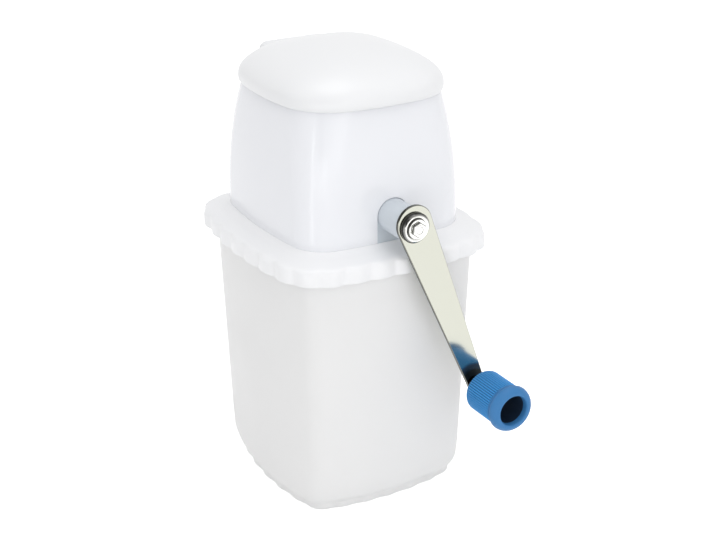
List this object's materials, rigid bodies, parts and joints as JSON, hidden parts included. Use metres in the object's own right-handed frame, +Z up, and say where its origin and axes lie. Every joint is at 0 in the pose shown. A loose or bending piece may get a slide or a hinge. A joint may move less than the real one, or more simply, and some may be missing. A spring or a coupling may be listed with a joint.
{
  "type": "hand-cranked ice crusher",
  "caption": "Tabletop ice crusher: frosted bin, fluted collar, hopper housing with hinged lid, and a side crank with knob that turns hooked breakers between two slotted combs.",
  "frame": {"origin": "centre of the bin's flat underside, which stands on the table", "axes": "+Z up, +X towards the crank along the shaft, +Y to the right of a person who faces the crank from +X"},
  "size_m": [0.1848, 0.1342, 0.2564],
  "materials": {
    "bin_plastic": "frosted, see-through",
    "collar_plastic": "gloss",
    "body_plastic": "gloss",
    "lid_plastic": "gloss",
    "inner_plastic": "satin",
    "bush_plastic": "satin",
    "thrust_plastic": "satin",
    "pin_steel": "satin",
    "comb_steel": "brushed",
    "screw_steel": "satin",
    "shaft_steel": "satin",
    "breaker_steel": "brushed",
    "spacer_steel": "satin",
    "arm_chrome": "polished",
    "washer_chrome": "polished",
    "bolt_chrome": "polished",
    "knob_pin_steel": "polished",
    "knob_plastic": "gloss"
  },
  "bodies": {
    "bin_body": {"bin": "bin_plastic"},
    "upper_body": {"collar": "collar_plastic", "housing": "body_plastic", "hopper_funnel": "inner_plastic", "front_comb": "comb_steel", "rear_comb": "comb_steel", "comb_screws": "screw_steel", "collar_screws": "screw_steel", "crank_bush": "bush_plastic", "rear_bush": "bush_plastic", "hinge_pin": "pin_steel"},
    "lid_body": {"lid": "lid_plastic"},
    "crank_body": {"drive_shaft": "shaft_steel", "breaker_1": "breaker_steel", "breaker_2": "breaker_steel", "breaker_3": "breaker_steel", "breaker_4": "breaker_steel", "breaker_5": "breaker_steel", "breaker_6": "breaker_steel", "blade_spacers": "spacer_steel", "end_spacers": "spacer_steel", "thrust_washers": "thrust_plastic", "crank_arm": "arm_chrome", "crank_washer": "washer_chrome", "crank_bolt": "bolt_chrome", "knob_pin": "knob_pin_steel"},
    "knob_body": {"crank_knob": "knob_plastic"}
  },
  "joints": [
    {"name": "housing_lift", "type": "slide", "parent": "bin_body", "child": "upper_body", "axis": [0, 0, 1], "range_m": [0, 0.08]},
    {"name": "lid_hinge", "type": "hinge", "parent": "upper_body", "child": "lid_body", "pos_m": [-0.0563, 0, 0.2365], "axis": [0, -1, 0], "range_deg": [0, 105]},
    {"name": "crank_turn", "type": "hinge", "parent": "upper_body", "child": "crank_body", "pos_m": [0, 0, 0.174], "axis": [1, 0, 0], "continuous": true},
    {"name": "knob_spin", "type": "hinge", "parent": "crank_body", "child": "knob_body", "pos_m": [0.09, 0.04286, 0.07053], "axis": [1, 0, 0], "continuous": true}
  ]
}
